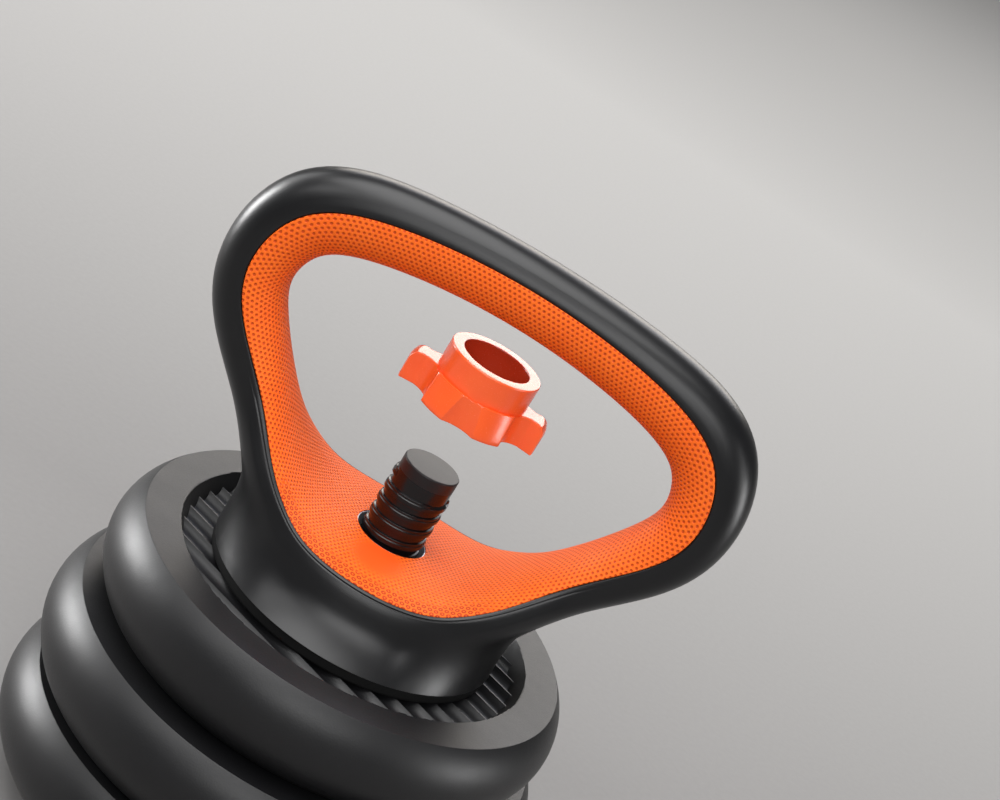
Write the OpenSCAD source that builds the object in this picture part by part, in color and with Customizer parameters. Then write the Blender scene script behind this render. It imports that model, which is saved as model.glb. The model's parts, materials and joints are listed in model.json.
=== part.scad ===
// Loadable kettlebell: a moulded loop handle on a stack of filled plates,
// held by a star nut on a threaded centre rod. Millimetres, +Z up.
// Origin: centre of the foot's resting face. The nut is shown lifted off the rod.

/* [Foot] */
// Diameter of the foot disc under the lowest plate
foot_d = 150; // [120:1:170]
// Thickness of the foot disc
foot_t = 14; // [13:0.5:18]
// Thickness of the rubber ring under the foot disc
foot_pad_t = 3; // [2:0.5:5]
// Width of the rubber ring under the foot disc
foot_pad_w = 20; // [12:1:24]
// Diameter of the foot screw's shank
screw_d = 8; // [6:1:10]
// Length of the foot screw under its head
screw_len = 34; // [24:1:44]
// Height of the foot screw's head
screw_head_h = 4.5; // [3:0.5:5]

/* [Plates] */
// Thickness of one plate, from its flat base to its flat rim
plate_t = 42; // [38:1:52]
// Width of the top plate's flat rim, from the recess to its crisp outer edge
small_rim_w = 15.8; // [13:0.1:22]
// Width of the two lower plates' flat rims
large_rim_w = 24.3; // [20:0.1:38]
// How far a plate's base edge lies inside its rim edge
side_tuck = 7.15; // [2:0.05:10]
// Bow of the barrel curve between those two edges
side_bow = 11.1; // [6:0.1:16]
// Gap between the handle base and the edge of the recess, at the rim
recess_gap = 15.7; // [8:0.1:22]
// Depth of the recess, down to the rib crests
recess_depth = 5; // [3:0.5:8]
// How far the recess wall leans in over its depth
recess_lean = 3; // [1:0.5:5]
// Spacing of the straight ribs on the recess floor
rib_pitch = 10; // [8:0.5:14]
// Width of a rib's flat crest
rib_crest_w = 0.4; // [0.2:0.1:2]
// Depth of the flutes between the ribs
flute_depth = 2.3; // [1:0.1:4]
// Direction of the ribs, from the X axis
rib_angle = -29; // [-45:1:45]
// Width of the flat hub round a plate's bore
hub_w = 9.5; // [6:0.5:16]
// Difference between a plate's bore and the thread
plate_slack = 1.2; // [0.6:0.1:3]
// Wall of the hollow plate shell
shell_wall = 3.2; // [2:0.1:5]
// Thickness under the recess's rib crests
recess_floor_t = 6; // [5:0.5:8]
// Diameter of the filler hole in a plate's base
plug_d = 22; // [16:1:30]
// Distance of the filler hole from the axis
plug_offset = 46; // [36:1:54]

/* [Rod] */
// Diameter of the plain cap at the rod's end
cap_d = 25.4; // [25:0.1:26]
// Height of the plain cap
cap_h = 5.4; // [4:0.2:8]
// Thread crest diameter
thread_d = 27.8; // [27:0.1:28]
// Thread pitch
thread_pitch = 6.6; // [5.5:0.1:8]
// Width of the thread ridge at its crest
ridge_crest_w = 3.4; // [2:0.1:3.5]
// Width of the thread ridge at its root
ridge_root_w = 4.4; // [3:0.1:4.5]
// Length of the threaded stretch
thread_len = 112; // [60:1:130]
// Diameter of the steel core
core_d = 16; // [13:0.5:18]
// Height of the rod end above the top plate's rim
rod_rise = 67; // [60:1:76]
// Diameter of the collar at the rod's foot
collar_foot_d = 44; // [36:1:56]
// Thickness of the collar at the rod's foot
collar_foot_t = 4; // [3:0.5:5]

/* [Handle] */
// Height of the bar's middle control section above the handle's floor
bar_rise = 124.1; // [114:0.1:134]
// Distance of the arms' widest control sections from the middle
arm_reach = 108; // [100:1:118]
// Thickness of the bar at its middle, in the plane of the loop
bar_t = 30; // [26:0.5:34]
// Width of the handle base at its lower edge
base_d = 133; // [126:1:140]
// Width of the handle base across Y at its neck
neck_w = 108; // [102:1:114]
// Height of the handle's floor above the top plate's rim
floor_rise = 31.4; // [28:0.2:36]
// Thickness of the rubber ring under the handle base
base_pad_t = 5; // [4:0.5:6]
// Width of the rubber ring under the handle base
base_pad_w = 12; // [8:1:14]
// Number of stiffening ribs inside the base
base_ribs = 8; // [4:1:12]
// Thickness of those ribs
base_rib_t = 3; // [2:0.5:5]
// Thickness of the base's roof under the liner
base_roof_t = 8; // [5:0.5:10]
// How far the hollow under the base narrows towards its roof
base_draft = 10; // [4:1:16]
// Wall of the boss round the bush's flange
boss_wall = 3; // [2:0.5:5]
// Thickness of the soft liner
liner_t = 3; // [2:0.1:4]
// Difference between the bush's bore and the thread
bush_slack = 3.8; // [2:0.1:4.4]
// Wall of the bush in the base
bush_wall = 1.2; // [1:0.1:2]
// Difference between the hole in the liner and the bush's bore
hole_slack = 0.8; // [0.4:0.1:2]
// How far the bush's lower flange stands out
bush_lip = 5; // [3:0.5:7]
// Thickness of the bush's lower flange
bush_flange_t = 2.5; // [2:0.5:4]

/* [Star nut] */
// Overall height of the star nut
nut_h = 25.6; // [22:0.2:32]
// Height of the lobed part
lobe_h = 13.6; // [11:0.2:16]
// Wall of the round collar
collar_wall = 5.5; // [4:0.5:8]
// How far the four short lobes stand out of the collar
lobe_reach = 4; // [3:0.5:7]
// How far the two long lobes stand out of the collar
wing_reach = 11.5; // [9:0.5:15]
// Width of a long lobe
wing_w = 13; // [10:0.5:15]
// Rounding of a long lobe's upper corner
wing_round = 6; // [2:0.5:8]
// Radius of the scallops between the lobes
scallop_r = 8.8; // [7:0.1:10]
// Depth of the scallops
scallop_depth = 4.2; // [2:0.1:5]
// Angle of the side scallops from the long lobes
scallop_angle = 27; // [24:1:32]
// Difference between the smooth bore at the nut's top and the thread
nut_slack = 2.2; // [1:0.1:4]
// Depth of the smooth bore
nut_bore_h = 11; // [8:0.5:13]
// Height of the lifted nut above the rod end
nut_lift = 28.6; // [20:0.2:34]
// Thickness of the sealing ring in the nut's underside
ring_t = 4.6; // [4:0.2:6]
// How far the sealing ring stands out of the nut
ring_proud = 2.4; // [2:0.2:3]
// Width of the sealing ring
ring_w = 3.2; // [2:0.1:4]
// Difference between the sealing ring's bore and the thread
ring_slack = 1.8; // [1:0.1:3]

/* [Hidden] */
$fn = 96;
far = 400;
// How far a cut runs past the face that it opens, or a joined piece into its neighbour
past = 1;

// Clearances: pressed or bonded pieces, sliding and turning pieces, threads, the liner's seam
press_gap = 0.02;
slide_gap = 0.05;
free_gap = 0.3;
thread_gap = 0.35;
seam_gap = 0.12;

// Heights of the stack
foot_top = foot_pad_t + foot_t;
plate_base = [for (i = [2:-1:0]) foot_top + i * plate_t];
rim_z = foot_top + 3 * plate_t;
crest_z = rim_z - recess_depth;
rod_end = rim_z + rod_rise;
floor_z = rim_z + floor_rise;
base_z = crest_z + base_pad_t;
bush_raise = 1;
bush_z = base_z + bush_raise;

// Foot: the collar sits in a pocket above the web, the screw's head in one below it
collar_z = foot_top - collar_foot_t;
washer_t = 1.6;
washer_gap = 1;
head_lip = 3;
washer_lip = 5;
head_d = screw_d + 2 * head_lip;
washer_d = head_d + 2 * washer_lip;
head_key_d = 6;
head_key_h = 2.6;
head_depth = 0.4;
web_z = foot_pad_t + head_depth + screw_head_h + washer_t;
screw_hole_d = screw_d + 1;

// Plates: the recess takes the handle base, and the barrel's arc runs from rim edge to base edge
plate_bore_d = thread_d + plate_slack;
hub_d = plate_bore_d + 2 * hub_w;
recess_d = base_d + 2 * recess_gap;
rim_d = [for (w = [small_rim_w, large_rim_w, large_rim_w]) recess_d + 2 * w];
side_chord = norm([side_tuck, plate_t]);
side_r = (side_chord * side_chord / 4 + side_bow * side_bow) / (2 * side_bow);
flute_w = rib_pitch - rib_crest_w;
flute_r = (flute_w * flute_w / 4 + flute_depth * flute_depth) / (2 * flute_depth);

// Bush and the liner's hole over it
bush_bore_d = thread_d + bush_slack;
bush_d = bush_bore_d + 2 * bush_wall;
bush_flange_d = bush_d + 2 * bush_lip;
hole_d = bush_bore_d + hole_slack;

// Rod
root_d = cap_d;
cap_z = rod_end - cap_h;
spigot_d = 8;
spigot_h = 7;
ridge_bite = 0.3;
thread_end = ridge_root_w / 2 + ridge_bite;

// Nut: its ridge fills the rod's groove, less the thread gap
nut_z = rod_end + nut_lift;
nut_thread_d = thread_d + 2 * thread_gap;
nut_ridge_d = root_d + 2 * thread_gap;
nut_ridge_root_w = thread_pitch - ridge_crest_w - 2 * thread_gap;
nut_ridge_crest_w = thread_pitch - ridge_root_w - 2 * thread_gap;
nut_thread_h = nut_h - nut_bore_h;
nut_bore_d = thread_d + nut_slack;
collar_d = nut_bore_d + 2 * collar_wall;
lobe_d = collar_d + 2 * lobe_reach;
wing_d = collar_d + 2 * wing_reach;
ring_bore_d = thread_d + ring_slack;
ring_d = ring_bore_d + 2 * ring_w;
ring_groove = ring_t - ring_proud;

bar_r = bar_t / 2;
// Loop of the handle: one row for each control section of half the loop, from the middle of the
// bar down the right side to the middle of the floor. Place along X, height above the handle's
// floor, half thickness in the plane of the loop, half width of the liner's curve along Y,
// half width of the shell along Y, angle of the seam from the inward direction.
LOOP = [
    [0,                bar_rise,        bar_r,       15,   15,   108],
    [60,               bar_rise - 5,    bar_r + 1.5, 14.5, 14.5, 101],
    [arm_reach - 9.5,  bar_rise - 16.5, bar_r + 3.5, 15.5, 15.5, 94],
    [arm_reach,        bar_rise - 51.5, bar_r + 0.5, 16.5, 16.5, 92],
    [arm_reach - 11.5, bar_rise - 74.5, bar_r,       18,   18,   85],
    [73.5,  24.1, 11,   21,   21,   69],
    [62,     8.6, 11.5, 34.5, 32,   57],
    [47,    -6.4, 13,   49.5, 43.5, 47],
    [29.5, -13.4, 13,   60.5, 52.5, 46],
    [0,    -13.4, 13.4, 62,   54,   54]
];
loop_roundness = 2.3;
loop_power = 2 / loop_roundness;
steps_per_row = 4;
arc_steps = 10;
back_steps = 14;

// Closed uniform cubic B-spline through the rows and their mirror image
half = len(LOOP);
rows = concat(LOOP, [for (i = [half - 2:-1:1]) [for (j = [0:5]) (j == 0 ? -1 : 1) * LOOP[i][j]]]);
row_count = len(rows);
function row(i) = rows[(i + row_count) % row_count];
function blend_row(i, u) =
    (pow(1 - u, 3) * row(i - 1) + (3 * pow(u, 3) - 6 * u * u + 4) * row(i)
    + (-3 * pow(u, 3) + 3 * u * u + 3 * u + 1) * row(i + 1) + pow(u, 3) * row(i + 2)) / 6;
sections = [for (i = [0:row_count - 1], k = [0:steps_per_row - 1]) blend_row(i, k / steps_per_row)];
section_count = len(sections);

function unit(v) = v / norm(v);
function spow(v) = sign(v) * pow(abs(v), loop_power);
function smooth(f) = let (g = min(1, max(0, f))) g * g * (3 - 2 * g);

// Inward direction of a section, in the XZ plane
function inward(i) =
    let (a = sections[(i + section_count - 1) % section_count], b = sections[(i + 1) % section_count],
         t = unit([b[0] - a[0], b[1] - a[1]]))
    [t[1], -t[0]];
// A point of section i: r towards the opening, y along Y
function place(i, r, y) =
    let (s = sections[i], n = inward(i))
    [s[0] + n[0] * r, y, floor_z + s[1] + n[1] * r];
// Point of the liner's curve at angle a from the inward direction, inset by t
function liner_point(i, a, t) =
    let (s = sections[i])
    place(i, (s[2] - t) * spow(cos(a)), -(s[3] - t) * spow(sin(a)));
// Point of the shell's outside at angle a: it narrows from the liner's width to its own
function shell_point(i, a) =
    let (s = sections[i], from_seam = min(a, 360 - a) - s[5],
         w = s[3] + (s[4] - s[3]) * smooth(from_seam / max(10, 95 - s[5])))
    place(i, s[2] * spow(cos(a)), -w * spow(sin(a)));

// How far the liner's underside dips below its middle at a distance y to the front of it
function liner_dip(y) =
    let (s = sections[(half - 1) * steps_per_row], a = s[2] - liner_t, b = s[3] - liner_t)
    a - a * pow(1 - pow(y / b, loop_roundness), 1 / loop_roundness);

function liner_ring(i) =
    let (s = sections[i], e = s[5] - seam_gap / (s[2] + s[3]) * 115, n = arc_steps)
    concat([for (k = [-n:n]) liner_point(i, e * k / n, 0)],
           [for (k = [n:-1:-n]) liner_point(i, e * k / n, liner_t - seam_gap)]);
function shell_ring(i) =
    let (s = sections[i], n = arc_steps)
    concat([for (k = [0:back_steps]) shell_point(i, s[5] + (360 - 2 * s[5]) * k / back_steps)],
           [for (k = [-n:n]) liner_point(i, s[5] * k / n, liner_t)]);

// Closed ring of sections as one solid
module ring_sweep(rings) {
    n = len(rings);
    m = len(rings[0]);
    faces = [for (i = [0:n - 1], j = [0:m - 1])
        let (a = i * m + j, b = i * m + (j + 1) % m,
             c = ((i + 1) % n) * m + (j + 1) % m, d = ((i + 1) % n) * m + j)
        each [[a, b, c], [a, c, d]]];
    polyhedron([for (r = rings) each r], faces, convexity = 6);
}

// Stack of rings as one solid, closed by fans at both ends
module ring_stack(rings) {
    n = len(rings);
    m = len(rings[0]);
    function middle(r) = [0, 0, min([for (p = r) p[2]])];
    points = concat([for (r = rings) each r], [middle(rings[0]), middle(rings[n - 1])]);
    sides = [for (i = [0:n - 2], j = [0:m - 1])
        let (a = i * m + j, b = i * m + (j + 1) % m, c = (i + 1) * m + (j + 1) % m, d = (i + 1) * m + j)
        each [[a, c, b], [a, d, c]]];
    ends = [for (j = [0:m - 1])
        let (a = j, b = (j + 1) % m, c = (n - 1) * m)
        each [[n * m, a, b], [n * m + 1, c + b, c + a]]];
    polyhedron(points, concat(sides, ends), convexity = 4);
}

// Helical ridge whose centre line crosses the angle 0 at z_zero: radius and width at its root
// and at its crest. A crest inside its root makes an inner thread.
module helix(r_root, r_crest, w_root, w_crest, z_from, z_to, z_zero) {
    per_turn = 24;
    count = ceil((z_to - z_from) / thread_pitch * per_turn);
    first = (z_from - z_zero) / thread_pitch * 360;
    span = (z_to - z_from) / thread_pitch * 360;
    function corner(i, r, dz) =
        let (a = first + span * i / count)
        [r * cos(a), r * sin(a), z_zero + thread_pitch * a / 360 + dz];
    points = [for (i = [0:count])
        each [corner(i, r_root, -w_root / 2), corner(i, r_crest, -w_crest / 2),
              corner(i, r_crest, w_crest / 2), corner(i, r_root, w_root / 2)]];
    last = 4 * count;
    faces = concat(
        [for (i = [0:count - 1], j = [0:3])
            let (a = 4 * i + j, b = 4 * i + (j + 1) % 4, c = 4 * (i + 1) + (j + 1) % 4, d = 4 * (i + 1) + j)
            each [[a, b, c], [a, c, d]]],
        [[2, 1, 0], [3, 2, 0], [last, last + 1, last + 2], [last, last + 2, last + 3]]);
    if (r_crest > r_root)
        polyhedron(points, faces, convexity = 10);
    else
        polyhedron(points, [for (f = faces) [f[0], f[2], f[1]]], convexity = 10);
}

module tube(d, bore, h) {
    difference() {
        cylinder(d = d, h = h);
        translate([0, 0, -past]) cylinder(d = bore, h = h + 2 * past);
    }
}

// Foot ------------------------------------------------------------------------------------------

module foot_disc() {
    color("dimgray")
    difference() {
        translate([0, 0, foot_pad_t]) cylinder(d = foot_d, h = foot_t);
        translate([0, 0, collar_z]) cylinder(d = collar_foot_d + 2 * slide_gap, h = far);
        cylinder(d = screw_hole_d, h = far);
        cylinder(d = washer_d + 2 * washer_gap, h = web_z);
    }
}

module foot_pad() {
    color([0.1, 0.1, 0.1]) tube(foot_d, foot_d - 2 * foot_pad_w, foot_pad_t);
}

module foot_screw() {
    top = web_z - washer_t;
    color("silver")
    difference() {
        union() {
            translate([0, 0, top - screw_head_h]) cylinder(d = head_d, h = screw_head_h);
            translate([0, 0, top - past]) cylinder(d = screw_d, h = screw_len + past);
        }
        translate([0, 0, top - screw_head_h - past]) cylinder(d = head_key_d, h = past + head_key_h, $fn = 6);
    }
}

module foot_washer() {
    color("silver") translate([0, 0, web_z - washer_t]) tube(washer_d, screw_hole_d, washer_t);
}

// Rod -------------------------------------------------------------------------------------------

module rod_core() {
    color("darkgray")
    difference() {
        translate([0, 0, collar_z]) cylinder(d = core_d, h = cap_z - collar_z);
        translate([0, 0, collar_z - past]) cylinder(d = screw_d + 2 * press_gap, h = screw_len);
        translate([0, 0, cap_z - spigot_h - past]) cylinder(d = spigot_d + 2 * press_gap, h = far);
    }
}

module rod_sleeve() {
    thread_z = cap_z - thread_len;
    color([0.08, 0.08, 0.08])
    difference() {
        union() {
            translate([0, 0, collar_z]) cylinder(d = collar_foot_d, h = collar_foot_t);
            translate([0, 0, collar_z]) cylinder(d = thread_d, h = thread_z - collar_z);
            translate([0, 0, collar_z]) cylinder(d = root_d, h = cap_z - collar_z);
            helix(root_d / 2 - ridge_bite, thread_d / 2, ridge_root_w, ridge_crest_w,
                  thread_z + thread_end, cap_z - thread_end, 0);
        }
        translate([0, 0, collar_z - past]) cylinder(d = core_d + 2 * press_gap, h = far);
    }
}

module rod_cap() {
    color([0.1, 0.1, 0.1]) {
        translate([0, 0, cap_z]) cylinder(d = cap_d, h = cap_h);
        translate([0, 0, cap_z - spigot_h]) cylinder(d = spigot_d, h = spigot_h + past);
    }
}

// Plates ----------------------------------------------------------------------------------------

// Half outline of a plate's solid, grown or shrunk by an inset
module plate_outline(d, inset) {
    reach = (side_r - side_bow) / side_chord;
    side_x = (d - side_tuck) / 2 - reach * plate_t;
    side_z = plate_t / 2 + reach * side_tuck;
    intersection() {
        union() {
            square([side_x, plate_t - inset]);
            translate([side_x, side_z]) circle(r = side_r - inset);
        }
        translate([0, inset]) square([far, plate_t - 2 * inset]);
    }
}

// Half outline of the space inside a plate's shell, or of the fill in it
module plate_inside(d, gap) {
    wall = shell_wall + gap;
    difference() {
        plate_outline(d, wall);
        translate([0, plate_t - recess_depth - recess_floor_t - gap])
            square([recess_d / 2 + wall, far]);
        square([plate_bore_d / 2 + wall, far]);
    }
}

// Straight flutes over the floor of the recess
module flutes() {
    count = floor(recess_d / rib_pitch / 2);
    intersection() {
        rotate([0, 0, rib_angle])
            for (i = [-count:count])
                translate([-far / 2, (i + 0.5) * rib_pitch, plate_t - recess_depth + flute_r - flute_depth])
                    rotate([0, 90, 0]) cylinder(r = flute_r, h = far);
        difference() {
            cylinder(d = recess_d - 2 * recess_lean, h = plate_t - recess_depth + past);
            translate([0, 0, -past]) cylinder(d = hub_d, h = far);
        }
    }
}

module plate_shell(i) {
    translate([0, 0, plate_base[i]])
    color([0.13, 0.13, 0.14])
    difference() {
        rotate_extrude()
            difference() {
                plate_outline(rim_d[i], 0);
                plate_inside(rim_d[i], 0);
                square([plate_bore_d / 2, far]);
                polygon([[0, plate_t - recess_depth], [recess_d / 2 - recess_lean, plate_t - recess_depth],
                         [recess_d / 2, plate_t], [recess_d / 2, far], [0, far]]);
            }
        flutes();
        translate([plug_offset, 0, -past]) cylinder(d = plug_d, h = shell_wall + 2 * past);
    }
}

module plate_fill(i) {
    translate([0, 0, plate_base[i]])
    color("gray") rotate_extrude() plate_inside(rim_d[i], slide_gap);
}

module plate_plug(i) {
    translate([plug_offset, 0, plate_base[i]])
    color([0.2, 0.2, 0.2]) cylinder(d = plug_d - 2 * press_gap, h = shell_wall);
}

// Handle ----------------------------------------------------------------------------------------

// Base of the handle: round at its lower edge, narrower across Y at its neck, and as wide as
// the arms along X, so that it runs into them. Its top is sunk in the loop.
module base_solid() {
    levels = 9;
    sides = 64;
    top_z = floor_z + LOOP[half - 1][1] + 6;
    arm_w = 2 * LOOP[half - 4][0] + 8;
    arm_rise = 5;
    neck_at = 0.83;
    top_taper = 4;
    flare = 1.8;
    function half_x(t) = (base_d + (arm_w - base_d) * smooth(2 * t)) / 2;
    function half_y(t) =
        (neck_w + (base_d - neck_w) * pow(max(0, 1 - t / neck_at), flare)) / 2
        - top_taper * smooth((t - 0.75) * 4);
    function ring(t) = [for (j = [0:sides - 1])
        let (a = 360 * j / sides)
        [half_x(t) * cos(a), half_y(t) * sin(a),
         base_z + (top_z - base_z + arm_rise * pow(cos(a), 6)) * t]];
    ring_stack([for (k = [0:levels]) ring(k / levels)]);
}

module handle_shell() {
    mouth_r = base_d / 2 - base_pad_w;
    roof_z = floor_z - liner_t - base_roof_t;
    boss_d = bush_flange_d + 2 * boss_wall;
    color([0.15, 0.15, 0.16])
    difference() {
        union() {
            ring_sweep([for (i = [0:section_count - 1]) shell_ring(i)]);
            base_solid();
        }
        difference() {
            union() {
                cylinder(r = mouth_r, h = base_z);
                translate([0, 0, base_z]) cylinder(r1 = mouth_r, r2 = mouth_r - base_draft, h = roof_z - base_z);
            }
            cylinder(d = boss_d, h = far);
            for (i = [0:base_ribs - 1])
                rotate([0, 0, (i + 0.5) * 360 / base_ribs])
                    translate([0, -base_rib_t / 2, 0]) cube([far, base_rib_t, far]);
        }
        cylinder(d = bush_d + 2 * slide_gap, h = floor_z + past);
        cylinder(d = boss_d, h = bush_z + bush_flange_t + free_gap);
    }
}

module grip_liner() {
    color([1, 0.39, 0.13])
    difference() {
        ring_sweep([for (i = [0:section_count - 1]) liner_ring(i)]);
        translate([0, 0, floor_z - 2 * liner_t]) cylinder(d = hole_d, h = 4 * liner_t);
    }
}

module base_bush() {
    floor_s = sections[(half - 1) * steps_per_row];
    top = floor_z + floor_s[1] + floor_s[2] - liner_t - liner_dip(bush_d / 2) - free_gap;
    color("lightgray")
    difference() {
        union() {
            translate([0, 0, bush_z]) cylinder(d = bush_flange_d, h = bush_flange_t);
            translate([0, 0, bush_z]) cylinder(d = bush_d, h = top - bush_z);
        }
        translate([0, 0, bush_z - past]) cylinder(d = bush_bore_d, h = far);
    }
}

module base_pad() {
    color([0.1, 0.1, 0.1])
    translate([0, 0, crest_z]) tube(base_d - 1, base_d - 2 * base_pad_w, base_pad_t);
}

// Star nut --------------------------------------------------------------------------------------

module star_outline() {
    scallop_x = lobe_d / 2 - scallop_depth + scallop_r;
    difference() {
        union() {
            circle(d = lobe_d);
            intersection() {
                circle(d = wing_d);
                square([wing_d, wing_w], center = true);
            }
        }
        for (a = [90, scallop_angle, -scallop_angle])
            for (m = [0, 180])
                rotate(a + m) translate([scallop_x, 0]) circle(r = scallop_r);
    }
}

module star_nut() {
    color([1, 0.39, 0.2])
    translate([0, 0, nut_z])
    difference() {
        union() {
            intersection() {
                linear_extrude(lobe_h) star_outline();
                rotate_extrude() {
                    square([wing_d / 2 - wing_round, lobe_h]);
                    square([wing_d / 2, lobe_h - wing_round]);
                    translate([wing_d / 2 - wing_round, lobe_h - wing_round]) circle(r = wing_round);
                }
            }
            cylinder(d = collar_d, h = nut_h);
        }
        difference() {
            translate([0, 0, -past]) cylinder(d = nut_thread_d, h = far);
            helix(nut_thread_d / 2 + ridge_bite, nut_ridge_d / 2, nut_ridge_root_w, nut_ridge_crest_w,
                  ring_groove + thread_end, nut_thread_h - thread_end,
                  thread_pitch / 2 - nut_z);
        }
        translate([0, 0, nut_thread_h]) cylinder(d = nut_bore_d, h = far);
        translate([0, 0, -past]) cylinder(d = ring_d + 2 * free_gap, h = past + ring_groove + free_gap);
    }
}

module nut_ring() {
    color([0.2, 0.2, 0.2]) translate([0, 0, nut_z - ring_proud]) tube(ring_d, ring_bore_d, ring_t);
}

foot_disc();
foot_pad();
foot_screw();
foot_washer();
rod_core();
rod_sleeve();
rod_cap();
plate_shell(0);  // plate_shell_1
plate_shell(1);  // plate_shell_2
plate_shell(2);  // plate_shell_3
plate_fill(0);  // plate_fill_1
plate_fill(1);  // plate_fill_2
plate_fill(2);  // plate_fill_3
plate_plug(0);  // plate_plug_1
plate_plug(1);  // plate_plug_2
plate_plug(2);  // plate_plug_3
handle_shell();
grip_liner();
base_bush();
base_pad();
star_nut();
nut_ring();
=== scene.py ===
# %% [markdown]
# # A loadable kettlebell
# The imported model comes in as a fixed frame: every body is where the CAD put it, and nothing here
# moves one. The lesson dresses that frame. Each visible piece is remodelled with small roundings,
# grip dimples and moulded finishes, and then rides on the body that it belongs to.

# %% Load the frame
import json
import math
import bmesh
import bpy
import numpy as np
from mathutils import Matrix, Vector

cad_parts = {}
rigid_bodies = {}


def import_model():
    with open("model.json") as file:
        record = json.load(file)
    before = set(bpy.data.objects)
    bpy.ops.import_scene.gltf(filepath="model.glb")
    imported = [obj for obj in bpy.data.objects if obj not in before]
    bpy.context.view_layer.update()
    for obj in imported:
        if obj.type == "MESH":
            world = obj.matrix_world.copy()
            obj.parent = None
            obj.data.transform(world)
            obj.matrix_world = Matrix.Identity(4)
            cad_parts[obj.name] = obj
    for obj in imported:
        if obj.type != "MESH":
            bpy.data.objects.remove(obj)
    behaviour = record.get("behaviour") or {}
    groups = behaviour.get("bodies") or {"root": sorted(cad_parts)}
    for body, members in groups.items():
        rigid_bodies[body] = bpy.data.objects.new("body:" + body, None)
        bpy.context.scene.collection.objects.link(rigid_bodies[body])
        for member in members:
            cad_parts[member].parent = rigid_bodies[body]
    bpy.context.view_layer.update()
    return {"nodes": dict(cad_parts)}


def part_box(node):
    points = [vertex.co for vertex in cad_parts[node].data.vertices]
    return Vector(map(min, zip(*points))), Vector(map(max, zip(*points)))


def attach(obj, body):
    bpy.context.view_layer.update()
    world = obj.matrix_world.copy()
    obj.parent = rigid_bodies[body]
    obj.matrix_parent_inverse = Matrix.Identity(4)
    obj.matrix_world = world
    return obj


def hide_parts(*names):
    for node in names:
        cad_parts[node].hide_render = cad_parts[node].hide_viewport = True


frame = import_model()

MM = 0.001  # one millimetre, in the metres of the frame

# %% [markdown]
# ## Camera
# A long lens a little under a metre away keeps the loop of the handle close to its true shape. The
# camera is level with nothing: it looks down over the front and is rolled by a third of a right
# angle, which makes a still object look as if it swings. A matrix of its three axes sets it exactly.

# %% Camera
EYE_BACK, EYE_OVER_ROD = 0.8679, 0.3614  # metres
SENSOR_W, FOCAL = 36, 81.8
eye = Vector((0, -EYE_BACK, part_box("rod_cap")[1].z + EYE_OVER_ROD))
pan, tilt, roll = 0.0106, 0.3542, 0.5510  # radians
ahead = Vector((math.sin(pan) * math.cos(tilt), math.cos(pan) * math.cos(tilt), -math.sin(tilt)))
level = ahead.cross(Vector((0, 0, 1))).normalized()
upright = level.cross(ahead)
across = math.cos(roll) * level + math.sin(roll) * upright
above = math.cos(roll) * upright - math.sin(roll) * level

lens = bpy.data.cameras.new("studio_camera")
lens.sensor_width, lens.lens = SENSOR_W, FOCAL
camera = bpy.data.objects.new("studio_camera", lens)
camera.matrix_world = Matrix((across, above, -ahead)).transposed().to_4x4()
camera.location = eye
bpy.context.scene.collection.objects.link(camera)
bpy.context.scene.camera = camera
bpy.context.scene.view_settings.view_transform = "Standard"
print("camera at", [round(v, 3) for v in eye], "lens", lens.lens)

# %% [markdown]
# ## Helpers
# Colours are written as the sRGB hex values that a colour picker shows, and one function turns them
# to the linear values that a shader works in. One function adds a node, sets it and links it. Another
# turns a finished bmesh, built in millimetres, into a piece: it scales it to metres, shades it smooth
# with creases kept at real corners, and makes it ride on its body.

# %% Colours and nodes
def linear(hex_code):
    """An sRGB hex colour as the linear values that a shader takes, with an alpha of 1."""
    parts = [int(hex_code[i:i + 2], 16) / 255 for i in (1, 3, 5)]
    return tuple(c / 12.92 if c <= 0.04045 else ((c + 0.055) / 1.055) ** 2.4 for c in parts) + (1.0,)


def add_node(material, kind, values=None, **settings):
    """Adds a node with its settings; values fills its inputs, with sockets linked."""
    tree = material.node_tree
    made = tree.nodes.new(kind)
    for name, value in settings.items():
        setattr(made, name, value)
    for name, value in (values or {}).items():
        if isinstance(value, bpy.types.NodeSocket):
            tree.links.new(value, made.inputs[name])
        else:
            made.inputs[name].default_value = value
    return made


def new_finish(name):
    """An empty material, and its shader and output."""
    material = bpy.data.materials.new(name)
    material.use_nodes = True
    material.node_tree.nodes.clear()
    shader = add_node(material, "ShaderNodeBsdfPrincipled")
    add_node(material, "ShaderNodeOutputMaterial", {"Surface": shader.outputs[0]})
    return material, shader


# %% Pieces from meshes
def make_piece(bm, name, body, stands_for, finish, crease=38):
    """Makes a mesh in millimetres a piece that rides on its body and stands for its CAD nodes."""
    bmesh.ops.scale(bm, vec=(MM, MM, MM), verts=bm.verts)
    mesh = bpy.data.meshes.new(name)
    bm.to_mesh(mesh)
    bm.free()
    mesh.shade_smooth()
    mesh.set_sharp_from_angle(angle=math.radians(crease))
    mesh.materials.append(finish)
    piece = bpy.data.objects.new(name, mesh)
    bpy.context.scene.collection.objects.link(piece)
    flats = piece.modifiers.new("flat_faces_stay_flat", "WEIGHTED_NORMAL")
    flats.keep_sharp = True
    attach(piece, body)
    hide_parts(*stands_for)
    mesh.calc_loop_triangles()
    print(f"{name}: {len(mesh.loop_triangles)} triangles on {body}")


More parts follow.
